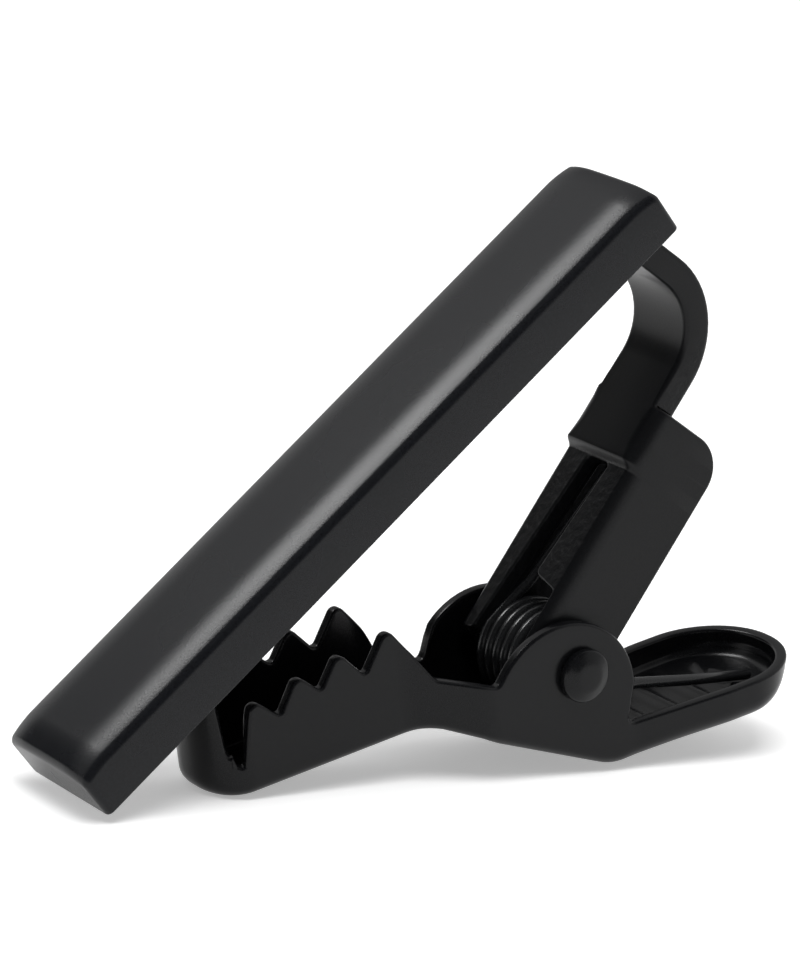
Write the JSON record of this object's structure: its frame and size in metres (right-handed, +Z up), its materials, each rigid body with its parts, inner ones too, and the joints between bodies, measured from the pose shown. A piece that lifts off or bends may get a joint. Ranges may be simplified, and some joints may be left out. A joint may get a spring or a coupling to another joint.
{
  "type": "tie clip",
  "caption": "Black spring-loaded tie clip: a plain satin front bar with a gooseneck arm, a toothed jaw with a thumb dish, a hinge pin and a torsion spring.",
  "frame": {"origin": "centre of the bounding box's base, on the surface that the shut clip lies on", "axes": "+Z up; +X from the front bar's low free end toward the jaw's thumb dish; +Y across the clip"},
  "size_m": [0.0406, 0.0086, 0.0278],
  "materials": {
    "bar_black": "satin black plating, finely brushed",
    "clip_black": "semi-gloss black plating over pressed steel",
    "spring_black": "semi-gloss black plated wire"
  },
  "bodies": {
    "jaw": {"jaw": "clip_black", "hinge_pin": "clip_black", "torsion_spring": "spring_black"},
    "front": {"front_bar": "bar_black", "arm": "clip_black", "solder_fillet": "clip_black"}
  },
  "joints": [
    {"name": "jaw_hinge", "type": "hinge", "parent": "jaw", "child": "front", "pos_m": [0.00646, 0, 0.00467], "axis": [0, 1, 0], "range_deg": [0, 40], "stiffness_Nm_per_rad": 0.05, "springref_deg": -34.38, "deforming": ["torsion_spring"]}
  ]
}
